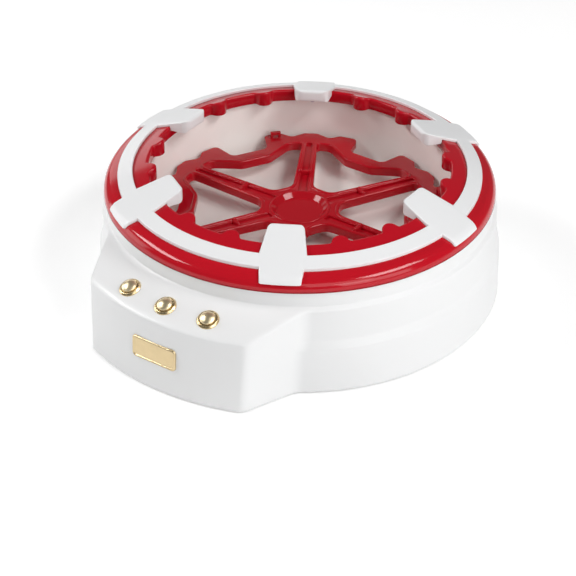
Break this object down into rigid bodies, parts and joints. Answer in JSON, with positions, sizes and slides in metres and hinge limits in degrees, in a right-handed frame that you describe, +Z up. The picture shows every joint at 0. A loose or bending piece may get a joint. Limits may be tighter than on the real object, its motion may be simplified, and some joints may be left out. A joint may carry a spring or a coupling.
{
  "type": "spin art machine",
  "caption": "Round motor-driven spin art machine: a lobed spinning wheel in a white catch bowl, a red and white lamp rim and a front console with push buttons.",
  "frame": {"origin": "on the floor under the middle of the bounding box", "axes": "+Z up along the spindle, front console toward -Y"},
  "size_m": [0.2608, 0.2854, 0.0918],
  "materials": {
    "white_housing": "white satin gloss moulding",
    "white_base": "white fine textured moulding",
    "white_bowl": "white gloss moulding",
    "white_ring": "white gloss moulding",
    "red_bezel": "deep red high gloss moulding",
    "red_ring": "deep red gloss moulding",
    "red_wheel": "deep red gloss moulding",
    "harness": "grey ribbon cable",
    "bronze": "sintered bronze",
    "nylon": "natural nylon",
    "brass_pinion": "turned brass",
    "circuit_board": "green solder mask",
    "led_board": "white solder mask",
    "gold_plate": "polished gold plating",
    "gold_ring": "polished gold plating",
    "gold_button": "polished gold plating",
    "lamp_lens": "violet tinted lamp",
    "steel": "zinc plated steel",
    "black_plastic": "black moulding",
    "cell_sleeve": "plain sleeve",
    "rubber_foot": "soft rubber"
  },
  "bodies": {
    "machine": {"upper_housing": "white_housing", "base_plate": "white_base", "battery_door": "white_base", "catch_bowl": "white_bowl", "outer_bezel": "red_bezel", "inner_ring": "red_ring", "light_ring": "white_ring", "lamp_harness": "harness", "spindle_bush": "bronze", "control_board": "circuit_board", "front_plate": "gold_plate", "motor_plate": "steel", "motor_can": "steel", "contact_strip_left": "steel", "contact_strip_right": "steel", "case_screws": "steel", "motor_screws": "steel", "door_screw": "steel", "board_screws": "steel", "led_board_1": "led_board", "uv_led_1": "lamp_lens", "led_board_2": "led_board", "uv_led_2": "lamp_lens", "led_board_3": "led_board", "uv_led_3": "lamp_lens", "led_board_4": "led_board", "uv_led_4": "lamp_lens", "led_board_5": "led_board", "uv_led_5": "lamp_lens", "led_board_6": "led_board", "uv_led_6": "lamp_lens", "button_ring_left": "gold_ring", "button_switch_left": "black_plastic", "switch_board_left": "circuit_board", "button_ring_middle": "gold_ring", "button_switch_middle": "black_plastic", "switch_board_middle": "circuit_board", "button_ring_right": "gold_ring", "button_switch_right": "black_plastic", "switch_board_right": "circuit_board", "battery_cell_1": "cell_sleeve", "foot_1": "rubber_foot", "battery_cell_2": "cell_sleeve", "foot_2": "rubber_foot", "battery_cell_3": "cell_sleeve", "foot_3": "rubber_foot", "battery_cell_4": "cell_sleeve", "foot_4": "rubber_foot"},
    "spinner": {"spinner_wheel": "red_wheel", "spindle_shaft": "steel", "spindle_gear": "nylon", "snap_ring": "steel"},
    "motor_rotor": {"motor_shaft": "steel", "motor_pinion": "brass_pinion"},
    "left_button": {"button_cap_left": "gold_button"},
    "middle_button": {"button_cap_middle": "gold_button"},
    "right_button": {"button_cap_right": "gold_button"}
  },
  "joints": [
    {"name": "spinner_turn", "type": "hinge", "parent": "machine", "child": "spinner", "pos_m": [0, 0.0121, 0.0475], "axis": [0, 0, 1], "continuous": true},
    {"name": "motor_turn", "type": "hinge", "parent": "machine", "child": "motor_rotor", "pos_m": [0, -0.0179, 0.024], "axis": [0, 0, 1], "continuous": true},
    {"name": "left_button_press", "type": "slide", "parent": "machine", "child": "left_button", "axis": [0.071, 0.3312, -0.9409], "range_m": [0, 0.0015], "stiffness_N_per_m": 900, "springref_m": -0.0005},
    {"name": "middle_button_press", "type": "slide", "parent": "machine", "child": "middle_button", "axis": [0, 0.3387, -0.9409], "range_m": [0, 0.0015], "stiffness_N_per_m": 900, "springref_m": -0.0005},
    {"name": "right_button_press", "type": "slide", "parent": "machine", "child": "right_button", "axis": [-0.071, 0.3312, -0.9409], "range_m": [0, 0.0015], "stiffness_N_per_m": 900, "springref_m": -0.0005}
  ],
  "couplings": [
    {"joint": "motor_turn", "follows": "spinner_turn", "ratio": -4}
  ]
}
